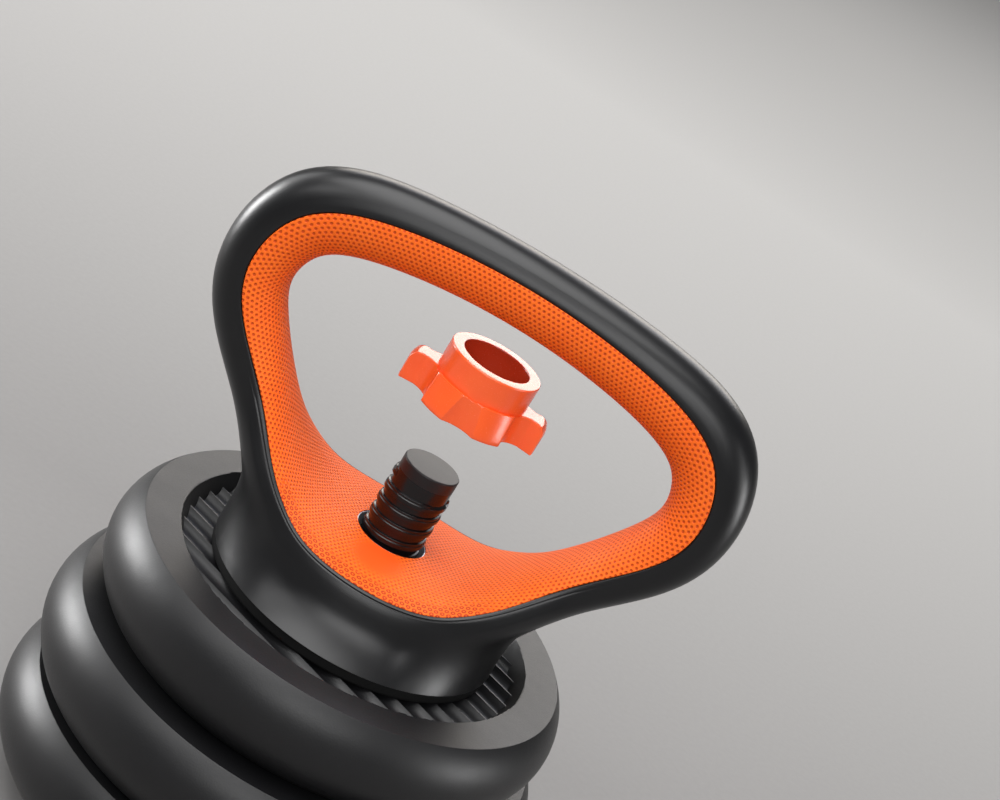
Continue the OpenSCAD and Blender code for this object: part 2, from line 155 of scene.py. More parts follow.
def carve(bm, tool, operation="DIFFERENCE"):
    """Cuts one closed mesh with another, or keeps what they share."""
    objects = []
    for part in (bm, tool):
        mesh = bpy.data.meshes.new("carving")
        part.to_mesh(mesh)
        part.free()
        objects.append(bpy.data.objects.new("carving", mesh))
        bpy.context.scene.collection.objects.link(objects[-1])
    cut = objects[0].modifiers.new("cut", "BOOLEAN")
    cut.operation, cut.object, cut.solver = operation, objects[1], "EXACT"
    graph = bpy.context.evaluated_depsgraph_get()
    result = bmesh.new()
    result.from_mesh(objects[0].evaluated_get(graph).to_mesh())
    for o in objects:
        mesh = o.data
        bpy.data.objects.remove(o)
        bpy.data.meshes.remove(mesh)
    return result


def spun(outline, steps=96):
    """Points of (radius, height) spun once round Z; an outline on the axis stays open there."""
    bm = bmesh.new()
    points = [bm.verts.new((r, 0, z)) for r, z in outline]
    edges = [bm.edges.new(pair) for pair in zip(points, points[1:])]
    if outline[0][0] or outline[-1][0]:
        edges.append(bm.edges.new((points[-1], points[0])))
    bmesh.ops.spin(bm, geom=points + edges, axis=(0, 0, 1), cent=(0, 0, 0), angle=math.tau,
                   steps=steps, use_merge=True)
    bmesh.ops.remove_doubles(bm, verts=bm.verts, dist=1e-3)
    bmesh.ops.recalc_face_normals(bm, faces=bm.faces)
    return bm


def drum(radius, low, high):
    """A plain drum round Z, to carve with."""
    return spun([(0, low), (radius, low), (radius, high), (0, high)])


def rounded(corners, segments=3):
    """An outline of (radius, height, rounding) corners with each corner rounded by an arc."""
    outline = []
    for i, (x, z, r) in enumerate(corners):
        here = Vector((x, z))
        if not r:
            outline.append((x, z))
            continue
        back = (Vector(corners[i - 1][:2]) - here).normalized()
        on = (Vector(corners[(i + 1) % len(corners)][:2]) - here).normalized()
        half = back.angle(on) / 2
        hub = here + (back + on).normalized() * (r / math.sin(half))
        start = here + back * (r / math.tan(half)) - hub
        end = here + on * (r / math.tan(half)) - hub
        sweep = start.angle(end)
        outline += [tuple(hub + (start * math.sin(sweep * (1 - t)) + end * math.sin(sweep * t))
                          / math.sin(sweep)) for t in np.linspace(0, 1, segments + 1)]
    return outline


print("helpers ready")

# %% [markdown]
# ## The loop of the handle
# The handle is one closed loop whose cross-section changes all the way round: a round bar at the
# top, flat wide arms, and a broad floor over the plates. A few control sections, each with a place,
# a thickness and a width, are blended by a B-spline into hundreds. That is how a curve keeps the
# same smooth flow that a moulding tool has, where a chain of straight pieces would show its joints.

# %% Sections of the loop
FLOOR_RISE = 31.4  # the handle's floor over the top plate's rim
floor_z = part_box("plate_shell_1")[1].z / MM + FLOOR_RISE
base_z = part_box("handle_shell")[0].z / MM
# place along X, height over the floor, half thickness, liner's half width, shell's half width,
# and the angle of the seam between the two, in degrees from the inward direction
CONTROL_SECTIONS = [
    (0, 124.1, 15, 15, 15, 108), (60, 119.1, 16.5, 14.5, 14.5, 101),
    (98.5, 107.6, 18.5, 15.5, 15.5, 94), (108, 72.6, 15.5, 16.5, 16.5, 92),
    (96.5, 49.6, 15, 18, 18, 85), (73.5, 24.1, 11, 21, 21, 69),
    (62, 8.6, 11.5, 34.5, 32, 57), (47, -6.4, 13, 49.5, 43.5, 47),
    (29.5, -13.4, 13, 60.5, 52.5, 46), (0, -13.4, 13.4, 62, 54, 54)]
PER_SECTION = 12
ROUNDNESS = 2.3  # 2 gives an ellipse, more gives a squarer section


def blend_sections(rows, steps):
    """The control sections and their mirror image as one closed B-spline."""
    rows = np.array(rows + [(-r[0],) + r[1:] for r in rows[-2:0:-1]], float)
    u = np.arange(steps)[:, None] / steps
    weights = ((1 - u) ** 3, 3 * u ** 3 - 6 * u ** 2 + 4, -3 * u ** 3 + 3 * u ** 2 + 3 * u + 1, u ** 3)
    spans = [sum(w * np.roll(rows, 1 - k, 0)[i] for k, w in enumerate(weights)) / 6
             for i in range(len(rows))]
    return np.concatenate(spans)


sections = blend_sections(CONTROL_SECTIONS, PER_SECTION)
half_thick, liner_half, shell_half, seam = (sections[:, k:k + 1] for k in (2, 3, 4, 5))
middle = sections[:, :2]
along = np.roll(middle, -1, 0) - np.roll(middle, 1, 0)
along /= np.linalg.norm(along, axis=1)[:, None]
inward = np.stack([along[:, 1], -along[:, 0]], 1)
print(len(sections), "sections, floor at", floor_z)


# %% Points of a section
def smooth(f):
    """An even rise from 0 to 1 without a corner at either end."""
    f = np.clip(f, 0, 1)
    return f * f * (3 - 2 * f)


def rounded_power(v):
    """Sine or cosine of a rounded rectangle's angle, from those of a circle's."""
    return np.sign(v) * np.abs(v) ** (2 / ROUNDNESS)


def place(flat):
    """Points given as (inward, Y) in each section's plane, as (x, y, z)."""
    r, y = flat[..., 0], flat[..., 1]
    x = middle[:, None, 0] + inward[:, None, 0] * r
    z = floor_z + middle[:, None, 1] + inward[:, None, 1] * r
    return np.stack([x, y, z], -1)


def liner_curve(angle, inset):
    """The liner's curve at an angle from the inward direction, one row for each section."""
    return np.stack([(half_thick - inset) * rounded_power(np.cos(angle)),
                     -(liner_half - inset) * rounded_power(np.sin(angle))], -1)


def run_along(flat):
    """Arc length at each point of each row of points."""
    steps = np.linalg.norm(np.diff(flat, axis=1), axis=2)
    return np.concatenate([np.zeros((len(flat), 1)), np.cumsum(steps, 1)], 1)


def at_lengths(flat, lengths):
    """Points at chosen arc lengths along each row of points."""
    return np.stack([[np.interp(want, have, row[:, k]) for k in (0, 1)]
                     for want, have, row in zip(lengths, run_along(flat), flat)]).transpose(0, 2, 1)


def outwards_of(flat):
    """Unit vectors that point out of each section, square to its curve."""
    slope = np.gradient(flat, axis=1)
    slope /= np.linalg.norm(slope, axis=2)[..., None]
    square = np.stack([-slope[..., 1], slope[..., 0]], -1)
    return square * np.sign((square * flat).sum(2))[..., None]


def closed_skin(points, maps=None):
    """A grid bent to a table of points, closed round the loop and each section, with UV maps."""
    rings, corners = points.shape[:2]
    bm = bmesh.new()
    grid = bm.loops.layers.uv.new("Grid")
    bmesh.ops.create_grid(bm, x_segments=rings, y_segments=corners, size=1, calc_uvs=True)
    for v in bm.verts:
        i, j = round((v.co.x + 1) / 2 * rings), round((v.co.y + 1) / 2 * corners)
        v.co = points[i % rings, j % corners]
    for name, table in (maps or {}).items():
        layer = bm.loops.layers.uv.new(name)
        for face in bm.faces:
            for loop in face.loops:
                i, j = round(loop[grid].uv.x * rings), round(loop[grid].uv.y * corners)
                loop[layer].uv = table[i % len(table), j % corners]
    bm.loops.layers.uv.remove(grid)
    bmesh.ops.remove_doubles(bm, verts=bm.verts, dist=1e-3)
    bmesh.ops.recalc_face_normals(bm, faces=bm.faces)
    return bm


print("sections are up to", round(2 * float(half_thick.max()), 1), "mm thick and",
      round(2 * float(liner_half.max()), 1), "mm wide")

# %% [markdown]
# ## The moulded body of the handle
# The black shell is one moulding: the arms run into a flared base without a crease. Two shapes are
# blended here as a sculptor's smooth union would: the skin of the loop, and a flaring oval base. Each
# section sends rays outwards and stops where the blend of both shapes ends, so every ring of the mesh
# already follows the fillet. Then the base is cut flat, its edge rounded and its underside hollowed.

# %% Blend of the loop and the base
BASE_R, WAIST_R, NECK_R = 66.5, 65.3, 52.6  # at its foot, then half length and half width above
FLARE_H, BASE_RISE, BASE_TOP, TOP_ROUND = 14.0, 23.0, 24.0, 8.0
BASE_DEPTH = 10.0  # how far it goes on below, to be cut flat later
FLOOR_FILLET, ARM_FILLET = 6.0, 18.0
WALL_OUT = 1.8  # the most that the wall stands out past the seam
ANGLES, RAY_STEP, RAY_END = 241, 0.5, 75


def smooth_join(a, b, k):
    """The smaller of two distances, with the corner between them filled."""
    h = np.clip(0.5 + 0.5 * (b - a) / k, 0, 1)
    return b * (1 - h) + a * h - k * h * (1 - h)


def base_distance(p):
    """Rough distance from the flaring base, negative inside it."""
    z = p[..., 2] - base_z
    half_x = WAIST_R + (BASE_R - WAIST_R) * smooth((FLARE_H - z) / FLARE_H)
    half_y = NECK_R + (BASE_R - NECK_R) * np.clip(1 - z / BASE_RISE, 0, 1.25) ** 2.0
    side = (np.hypot(p[..., 0] / half_x, p[..., 1] / half_y) - 1) * np.minimum(half_x, half_y)
    return np.maximum(-smooth_join(-side, BASE_TOP - z, TOP_ROUND), -BASE_DEPTH - z)


angle = np.radians(seam + (180 - seam) * np.linspace(0, 1, ANGLES)[None, :])
past_seam = np.degrees(angle) - seam
width = liner_half + (shell_half - liner_half) * smooth(past_seam / np.maximum(10, 95 - seam))
skin = np.stack([half_thick * rounded_power(np.cos(angle)), -width * rounded_power(np.sin(angle))], -1)
seam_y = np.abs(skin[:, :1, 1])
over = np.maximum(np.abs(skin[..., 1]) - seam_y, 0)
limit = seam_y + WALL_OUT * (1 - np.exp(-over / WALL_OUT))
skin[..., 1] = -np.minimum(np.abs(skin[..., 1]), limit)
reach = np.linalg.norm(skin, axis=2)
ray = skin / reach[..., None]
FLOOR_HALF_W, NARROWING = 44, 18
narrow = smooth((FLOOR_HALF_W - liner_half) / NARROWING)  # 0 over the plates, 1 up in the arms
fillet = FLOOR_FILLET + (ARM_FILLET - FLOOR_FILLET) * narrow
grown = np.full(reach.shape, np.nan)
before = None
for step in np.arange(0, RAY_END, RAY_STEP):
    flat = ray * (reach + step)[..., None]
    gap = smooth_join(np.full(reach.shape, step), base_distance(place(flat)), fillet)
    if before is not None:
        found = np.isnan(grown) & (gap > 0)
        grown[found] = (step - RAY_STEP * gap / (gap - before))[found]
    else:
        grown[gap >= 0] = 0
    before = gap
grown = np.nan_to_num(grown, nan=0.0)
EASE_IN = 7.0  # the blend starts this gently from the seam
outside = ray * (reach + grown * smooth(run_along(skin) / EASE_IN))[..., None]
print("the base stands out by up to", round(float(grown.max()), 1), "mm")

# %% Lip along the seam
# distance from the seam and height of the skin there: a rounded edge, a bead, then a fine groove
LIP = [(0, -0.45), (0.3, -0.12), (0.75, 0), (1.7, 0), (2.05, -0.12), (2.35, -0.34), (2.7, -0.14),
       (3.1, 0), (4.4, 0), (6.2, 0)]
LIP_END, BACK_STEPS = LIP[-1][0], 34
total = run_along(outside)[:, -1:]
wanted = np.concatenate([np.tile([s for s, _ in LIP], (len(total), 1)),
                         LIP_END + (total - LIP_END) * (np.arange(1, BACK_STEPS + 1) / BACK_STEPS)], 1)
front = at_lengths(outside, wanted)
dent = np.zeros(front.shape[:2])
dent[:, :len(LIP)] = [d for _, d in LIP]
dent[:, 4:8] *= smooth((liner_half - 16) / 10)  # the groove fades out up the arms
front = front + outwards_of(front) * dent[..., None]
back = front[:, -2::-1] * (1, -1)
LINER_T = 3.0  # the liner's thickness, and the depth of the groove for it
groove = liner_curve(np.radians(seam * np.linspace(-1, 1, 33)[None, :]), LINER_T)
ring = np.concatenate([front, back, groove], 1)
print("a ring has", ring.shape[1], "corners")

# %% Ease the join of arms and base
EASE_PASSES, LIP_MARGIN = 80, 5
ASIDE, ASIDE_FULL = 26, 14  # eased only beside the floor's middle
OVER_FOOT, OVER_FULL = 1, 4  # from just over the base's foot
UP_ARM, UP_FULL = 24, 10  # to a little way up the arms
points = place(ring)
column = np.arange(ring.shape[1])
from_lip = np.minimum(column - len(LIP), front.shape[1] + back.shape[1] - len(LIP) - 1 - column)
ease = (smooth((np.abs(points[..., 0]) - ASIDE) / ASIDE_FULL)
        * smooth((points[..., 2] - base_z - OVER_FOOT) / OVER_FULL)
        * smooth((floor_z + UP_ARM - points[..., 2]) / UP_FULL)
        * smooth(from_lip / LIP_MARGIN)[None, :])[..., None]
for _ in range(EASE_PASSES):
    mean = sum(np.roll(points, shift, axis) for shift in (1, -1) for axis in (0, 1)) / 4
    points += 0.5 * ease * (mean - points)
body = closed_skin(points)
print("body before its cuts:", len(body.faces), "faces")

# %% Cut the base flat
EDGE_R = 1.6
cut = bmesh.ops.bisect_plane(body, geom=body.verts[:] + body.edges[:] + body.faces[:], dist=1e-4,
                             plane_co=(0, 0, base_z), plane_no=(0, 0, -1), clear_outer=True)
lower_edge = [e for e in cut["geom_cut"] if isinstance(e, bmesh.types.BMEdge)]
bmesh.ops.holes_fill(body, edges=lower_edge)
bmesh.ops.recalc_face_normals(body, faces=body.faces)
rim_edges = [e for e in body.edges if all(abs(v.co.z - base_z) < 1e-3 for v in e.verts)]
bmesh.ops.bevel(body, geom=rim_edges, offset=EDGE_R, segments=4, profile=0.5, affect="EDGES",
                material=-1, clamp_overlap=True)
print("lower edge of", len(rim_edges), "edges, open edges:", sum(e.is_boundary for e in body.edges))

# %% [markdown]
# ## The hollow under the base
# A moulding this size is never solid: the plastic would sink as it cools. So the base is a shell with
# a drafted hollow, a boss for the metal bush and eight ribs from boss to wall. The hollow is cut with a
# tool that has the shape of the empty space, which is how the mould's core would look.

# %% Hollow, boss and ribs
MOUTH_R, ROOF_R, BOSS_R, BUSH_R, RIB_T = 54.5, 44.5, 25.0, 17.05, 3.0
ROOF_T, FLANGE_DEEP = 11, 3.8
FLANGE_R = BOSS_R + 0.05  # a hair wider than the boss, so that no two faces coincide
PAST = 2  # each tool starts this far below the base
roof_z, flange_z = floor_z - ROOF_T, base_z + FLANGE_DEEP
draft = (MOUTH_R - ROOF_R) / (roof_z - base_z)
core = spun([(0, base_z - PAST), (MOUTH_R + PAST * draft, base_z - PAST), (ROOF_R, roof_z), (0, roof_z)])
core = carve(core, drum(BOSS_R, base_z - 5, roof_z + 5))
for turn in (22.5, 67.5, 112.5, 157.5):
    bar = bmesh.new()
    bmesh.ops.create_cube(bar, size=1, matrix=Matrix.Translation((0, 0, roof_z))
                          @ Matrix.Rotation(math.radians(turn), 4, "Z")
                          @ Matrix.Diagonal((2.4 * MOUTH_R, RIB_T, 80, 1)))
    core = carve(core, bar)
body = carve(body, core)
body = carve(body, spun([(0, base_z - PAST), (FLANGE_R, base_z - PAST), (FLANGE_R, flange_z),
                         (BUSH_R, flange_z), (BUSH_R, floor_z + 5), (0, floor_z + 5)]))
print("hollowed body:", len(body.faces), "faces, open edges:", sum(e.is_boundary for e in body.edges))

# %% [markdown]
# ## Black moulded nylon
# The handle is black nylon from a spark-eroded mould. Such a surface is not polished: it has a fine
# even grain that spreads a highlight wide and soft. Noise at 0.35 mm gives the grain, a larger and
# weaker noise gives the slow waviness of a thick moulding, and roughness follows the grain a little.
# Every plastic here is made by the same function, with its own colours, gloss and sizes of grain.

# %% Finish: spark-eroded black nylon
def millimetres(material):
    """Object coordinates in millimetres."""
    place_in_space = add_node(material, "ShaderNodeTexCoord").outputs["Object"]
    return add_node(material, "ShaderNodeVectorMath", {0: place_in_space, 1: (1 / MM,) * 3},
                    operation="MULTIPLY").outputs[0]


def moulded_skin(name, colours, roughness, ior, grain_mm, grain_depth, wave_mm, wave_depth):
    """A moulded surface: fine grain over a slow waviness, each with its size and depth in mm."""
    material, shader = new_finish(name)
    spot = millimetres(material)
    grain = add_node(material, "ShaderNodeTexNoise", {"Vector": spot, "Scale": 1 / grain_mm, "Detail": 2.0})
    waves = add_node(material, "ShaderNodeTexNoise", {"Vector": spot, "Scale": 1 / wave_mm, "Detail": 1.0})
    flow = add_node(material, "ShaderNodeBump", {"Height": waves.outputs[0], "Distance": wave_depth * MM})
    rough = add_node(material, "ShaderNodeBump", {"Height": grain.outputs[0], "Distance": grain_depth * MM,
                                                  "Normal": flow.outputs[0]})
    spread = add_node(material, "ShaderNodeMapRange", {0: grain.outputs[0], 3: roughness - 0.06,
                                                       4: roughness + 0.08})
    tint = add_node(material, "ShaderNodeMix", {0: waves.outputs[0], 6: linear(colours[0]),
                                                7: linear(colours[1])}, data_type="RGBA")
    tree = material.node_tree
    tree.links.new(tint.outputs[2], shader.inputs["Base Color"])
    tree.links.new(spread.outputs[0], shader.inputs["Roughness"])
    tree.links.new(rough.outputs[0], shader.inputs["Normal"])
    shader.inputs["IOR"].default_value = ior
    return material, shader


black_nylon, _ = moulded_skin("spark_eroded_black_nylon", ("#0b0b0d", "#101012"), roughness=0.34,
                              ior=1.45, grain_mm=0.35, grain_depth=0.012, wave_mm=9.0, wave_depth=0.05)
print("finish:", black_nylon.name)

# %% Handle body
WELD, INSIDE = 0.002, 0.02
bmesh.ops.remove_doubles(body, verts=body.verts, dist=WELD)
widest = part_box("handle_shell")[1].x / MM - INSIDE  # the bend of the arms stays inside the CAD's box
for v in body.verts:
    v.co.x = max(-widest, min(widest, v.co.x))
print("loop body: edges without two faces", sum(not e.is_manifold for e in body.edges))
make_piece(body, "loop_body", "handle", ["handle_shell"], black_nylon)

# %% [markdown]
# ## The soft liner
# An orange rubber skin lines the inside of the loop and is moulded into a groove of the body. Its
# edges are rounded and a narrow gap shows along the seam. It is made from the same sections as the
# body, so it follows the loop exactly, and it carries its own UV map in millimetres for the grip dots.

# %% Liner mesh
SEAM_GAP, EDGE_ROUND = 0.22, 0.55
EDGE_STEPS = [0, 0.06, 0.2, 0.37, 0.55]
INNER_STEPS, UNDER_CORNERS = 30, 25
edge_angle = seam - np.degrees(SEAM_GAP / (half_thick + liner_half) * 2)
top = liner_curve(np.radians(edge_angle * np.linspace(-1, 1, ANGLES)[None, :]), 0)
top_len = run_along(top)[:, -1:]
inner = np.linspace(0, 1, INNER_STEPS + 1)[None, 1:-1]
wanted = np.concatenate([np.tile(EDGE_STEPS, (len(top), 1)),
                         EDGE_ROUND + (top_len - 2 * EDGE_ROUND) * inner,
                         top_len - np.array(EDGE_STEPS)[None, ::-1]], 1)
top = at_lengths(top, wanted)
to_round = np.maximum(0, EDGE_ROUND - np.minimum(wanted, top_len - wanted))
drop = EDGE_ROUND - np.sqrt(np.maximum(0, EDGE_ROUND ** 2 - to_round ** 2))
top = top - outwards_of(top) * drop[..., None]
under = liner_curve(np.radians(edge_angle * np.linspace(1, -1, UNDER_CORNERS)[None, :]), LINER_T - 0.1)
liner_ring = np.concatenate([top, under], 1)
print("liner ring has", liner_ring.shape[1], "corners")

# %% Liner's UV map in millimetres
DOT_PITCH = 2.2
mid_line = middle + inward * half_thick * 0.5
stride = np.linalg.norm(np.roll(mid_line, -1, 0) - mid_line, axis=1)
run_u = np.concatenate([[0], np.cumsum(stride)])
run_u *= round(run_u[-1] / DOT_PITCH) * DOT_PITCH / run_u[-1]
run_v = np.concatenate([wanted - top_len / 2,
                        top_len / 2 * np.linspace(1, -1, UNDER_CORNERS)[None, :]], 1)
run_v = np.concatenate([run_v, run_v[:1]])
grip = np.stack([np.broadcast_to(run_u[:, None], run_v.shape), run_v], -1)
to_seam = np.concatenate([top_len - wanted, np.zeros((len(top), UNDER_CORNERS))], 1)
breadth = np.broadcast_to(liner_half, to_seam.shape)
liner = closed_skin(place(liner_ring), {"Grip": grip, "Seam": np.stack([to_seam, breadth], -1)})
HOLE_R = 16.2
liner = carve(liner, drum(HOLE_R, floor_z - 8, floor_z + 8))
print("liner is", round(float(top_len.max()), 1), "mm wide at the floor, with",
      round(run_u[-1] / DOT_PITCH), "dots round")

# %% [markdown]
# ## Orange rubber with grip dots
# The mould for the liner has rows of small pins in a honeycomb pattern, and each pin leaves a dimple.
# A honeycomb is two plain grids, one shifted by half a cell: the nearer centre of the two gives the
# distance to a dimple. That distance sets the height of a bump and a darker orange down in the
# dimple, which is painted shade.
# The rubber itself is soft and matt, with a slow haze of two oranges, a patch without dimples in
# front of the rod's hole, and rows of small rings instead of dimples along the floor's front seam.

# %% Finish: dimpled orange rubber
def honeycomb(material, uv, pitch):
    """Distance in millimetres to the nearest centre of a honeycomb with that pitch."""
    cell = (pitch, pitch * math.sqrt(3), 0)
    reach = []
    for shift in (0.0, 0.5):
        p = uv
        for operation, value in (("DIVIDE", cell), ("ADD", (shift, shift, 0)), ("FRACTION", None),
                                 ("SUBTRACT", (0.5, 0.5, 0)), ("MULTIPLY", cell)):
            values = {0: p} if value is None else {0: p, 1: value}
            p = add_node(material, "ShaderNodeVectorMath", values, operation=operation).outputs[0]
        reach.append(add_node(material, "ShaderNodeVectorMath", {0: p}, operation="LENGTH").outputs[1])
    return add_node(material, "ShaderNodeMath", {0: reach[0], 1: reach[1]},
                    operation="MINIMUM").outputs[0]


DOT_FLOOR_R, DOT_R = 0.25, 0.8  # a dimple's flat floor and its edge
PATCH_Y, PATCH_IN, PATCH_OUT = -26, 7.0, 16.0  # the bare patch, whole and faded out
orange_rubber, rubber_shader = new_finish("dimpled_orange_rubber")
grip_uv = add_node(orange_rubber, "ShaderNodeUVMap", uv_map="Grip").outputs[0]
seam_uv = add_node(orange_rubber, "ShaderNodeUVMap", uv_map="Seam").outputs[0]
seam_parts = add_node(orange_rubber, "ShaderNodeSeparateXYZ", {0: seam_uv})
to_dot = honeycomb(orange_rubber, grip_uv, DOT_PITCH)
dot = add_node(orange_rubber, "ShaderNodeMapRange",
               {0: to_dot, 1: DOT_FLOOR_R, 2: DOT_R, 3: 1.0, 4: 0.0},
               interpolation_type="SMOOTHSTEP").outputs[0]
spot = millimetres(orange_rubber)
to_patch = add_node(orange_rubber, "ShaderNodeVectorMath", {0: spot, 1: (0, PATCH_Y, floor_z)},
                    operation="DISTANCE").outputs["Value"]
patch = add_node(orange_rubber, "ShaderNodeMapRange",
                 {0: to_patch, 1: PATCH_IN, 2: PATCH_OUT, 3: 1.0, 4: 0.0},
                 interpolation_type="SMOOTHSTEP").outputs[0]
dotted = add_node(orange_rubber, "ShaderNodeMath", {0: 1.0, 1: patch}, operation="SUBTRACT").outputs[0]
pit = add_node(orange_rubber, "ShaderNodeMath", {0: dot, 1: dotted}, operation="MULTIPLY").outputs[0]
print("dimples", DOT_PITCH, "mm apart")

# %% Rings along the front seam of the floor
RING_PITCH, RING_R, RING_HALF_WALL = 2.9, 0.75, 0.35
BAND, BAND_END = 6.0, 8.5  # how far the rings reach from the seam
ARM_HALF, FLOOR_WIDE = 38.0, 46.0  # half widths of the loop without rings and with them
to_ring = honeycomb(orange_rubber, grip_uv, RING_PITCH)
ring_wall = add_node(orange_rubber, "ShaderNodeMath", {0: to_ring, 1: RING_R, 2: RING_HALF_WALL},
                     operation="COMPARE").outputs[0]
near_seam = add_node(orange_rubber, "ShaderNodeMapRange",
                     {0: seam_parts.outputs[0], 1: BAND, 2: BAND_END, 3: 1.0, 4: 0.0},
                     interpolation_type="SMOOTHSTEP").outputs[0]
on_floor = add_node(orange_rubber, "ShaderNodeMapRange",
                    {0: seam_parts.outputs[1], 1: ARM_HALF, 2: FLOOR_WIDE, 3: 0.0, 4: 1.0},
                    interpolation_type="SMOOTHSTEP").outputs[0]
ring_zone = add_node(orange_rubber, "ShaderNodeMath", {0: near_seam, 1: on_floor},
                     operation="MULTIPLY").outputs[0]
pit = add_node(orange_rubber, "ShaderNodeMix", {0: ring_zone, 2: pit, 3: ring_wall}).outputs[0]
depth = add_node(orange_rubber, "ShaderNodeMath", {0: pit, 1: -1.0}, operation="MULTIPLY").outputs[0]
print("rings", RING_PITCH, "mm apart")

# %% Colour and relief of the rubber
HAZE_PER_MM, FINE_PER_MM, FINE_DEEP, PIT_DEEP = 0.09, 2.2, 0.02, 0.4
haze = add_node(orange_rubber, "ShaderNodeTexNoise",
                {"Vector": spot, "Scale": HAZE_PER_MM, "Detail": 2.0}).outputs[0]
fine = add_node(orange_rubber, "ShaderNodeTexNoise",
                {"Vector": spot, "Scale": FINE_PER_MM, "Detail": 2.0}).outputs[0]
skin_tint = add_node(orange_rubber, "ShaderNodeMix",
                     {0: haze, 6: linear("#ff6514"), 7: linear("#ff751f")}, data_type="RGBA").outputs[2]
skin_tint = add_node(orange_rubber, "ShaderNodeMix",
                     {0: patch, 6: skin_tint, 7: linear("#ff5a18")}, data_type="RGBA").outputs[2]
# Painted shade: dimples and ring grooves get a darker orange than the skin around them.
pit_painted_shade = add_node(orange_rubber, "ShaderNodeMix",
                     {0: ring_zone, 6: linear("#d2470f"), 7: linear("#bc3c0b")}, data_type="RGBA").outputs[2]
tint_with_pit_shade = add_node(orange_rubber, "ShaderNodeMix", {0: pit, 6: skin_tint, 7: pit_painted_shade},
                    data_type="RGBA").outputs[2]
skin_bump = add_node(orange_rubber, "ShaderNodeBump", {"Height": fine, "Distance": FINE_DEEP * MM})
pit_bump = add_node(orange_rubber, "ShaderNodeBump", {"Height": depth, "Distance": PIT_DEEP * MM,
                                                      "Normal": skin_bump.outputs[0]})
links = orange_rubber.node_tree.links
links.new(tint_with_pit_shade, rubber_shader.inputs["Base Color"])
links.new(pit_bump.outputs[0], rubber_shader.inputs["Normal"])
rubber_shader.inputs["Roughness"].default_value = 0.6
rubber_shader.inputs["IOR"].default_value = 1.33
make_piece(liner, "soft_liner", "handle", ["grip_liner"], orange_rubber)

# %% [markdown]
# ## The plates
# Each plate is a blow-moulded shell of black polyethylene, filled through a hole in its base that a
# plug closes. The outline is spun: a barrel side, a crisp edge and a flat rim. The recess that takes
# the handle is cut with a tool: a cone whose lower face is a comb of straight flutes, because that is
# how flutes end in a ragged line against the cone, as they do on the real plate. The polyethylene
# was blown against a sandblasted mould, so it is duller and coarser than the handle.

# %% Recess tool
FOOT_TOP, PLATE_T, RECESS_DEPTH = 17.0, 42.0, 5.0
RECESS_R, WALL_LEAN, HUB_R, BORE_R = 82.2, 0.6, 24.0, 14.5
PITCH, CREST_W, FLUTE_DEEP, FLUTES = 10.0, 0.9, 2.3, 18
CREST_FLAT, CREST_DIP, SHOULDER_DIP = 0.3, 0.02, 0.18  # each crest is flat, then slopes a little
COMB_HALF, COMB_TURN = 110, -29
crest = PLATE_T - RECESS_DEPTH
half_w = (PITCH - CREST_W) / 2
comb = bmesh.new()
profile = []
for k in range(-FLUTES // 2, FLUTES // 2):
    left, right = k * PITCH, k * PITCH + PITCH
    profile += [(left + CREST_FLAT, crest - CREST_DIP), (left + CREST_W / 2, crest - SHOULDER_DIP)]
    profile += [(left + PITCH / 2 + t * half_w, crest - SHOULDER_DIP - FLUTE_DEEP * (1 - t * t) ** 0.85)
                for t in np.linspace(-1, 1, 13)[1:-1]]
    profile += [(right - CREST_W / 2, crest - SHOULDER_DIP), (right - CREST_FLAT, crest - CREST_DIP)]
far = FLUTES // 2 * PITCH
profile += [(far, PLATE_T + 4), (-far, PLATE_T + 4)]
comb.faces.new([comb.verts.new((-COMB_HALF, y, z)) for y, z in profile])
sweep = bmesh.ops.extrude_face_region(comb, geom=comb.faces[:])["geom"]
bmesh.ops.translate(comb, vec=(2 * COMB_HALF, 0, 0),
                    verts=[v for v in sweep if isinstance(v, bmesh.types.BMVert)])
bmesh.ops.recalc_face_normals(comb, faces=comb.faces)
bmesh.ops.rotate(comb, cent=(0, 0, 0), matrix=Matrix.Rotation(math.radians(COMB_TURN), 3, "Z"),
                 verts=comb.verts)
low, high = crest - 4, PLATE_T + 2
cone = spun([(0, low), (RECESS_R - WALL_LEAN * (PLATE_T - low), low),
             (RECESS_R + WALL_LEAN * 2, high), (0, high)], 128)
recess = carve(carve(comb, cone, "INTERSECT"), drum(HUB_R, low - 1, crest))
print("recess tool has", len(recess.faces), "faces")

# %% Barrel side and plate body
SIDE_R, SIDE_Z, EDGE_BEVEL = 26.0, 23.5, 0.35


def bowed(axis_r, radius, start, end, steps):
    """Points of (radius, height) on the barrel side, between two angles."""
    return [(axis_r + radius * math.cos(start + (end - start) * t),
             SIDE_Z + radius * math.sin(start + (end - start) * t)) for t in np.linspace(0, 1, steps)]


def plate_body(rim_r, axis_r):
    """One plate of that rim radius, with its recess and its barrel side centred on axis_r."""
    start = math.atan2(-SIDE_Z, math.sqrt(SIDE_R ** 2 - SIDE_Z ** 2))
    bow = bowed(axis_r, SIDE_R, start, math.atan2(PLATE_T - SIDE_Z, rim_r - axis_r), 25)
    outer = rounded([(BORE_R, 0, 0.5), (bow[0][0], 0, 0.8)] + [(x, z, 0) for x, z in bow[1:-1]]
                    + [(rim_r, PLATE_T, 0.35), (BORE_R, PLATE_T, 0)])
    plate = carve(spun(outer, 128), recess.copy())
    edge = [e for e in plate.edges if all(abs(v.co.xy.length - RECESS_R) < 0.1
                                          and v.co.z > PLATE_T - 0.01 for v in e.verts)]
    bmesh.ops.bevel(plate, geom=edge, offset=EDGE_BEVEL, segments=1, profile=0.5, affect="EDGES",
                    material=-1)
    return plate


print("barrel side of radius", SIDE_R, "centred", SIDE_Z, "mm up")

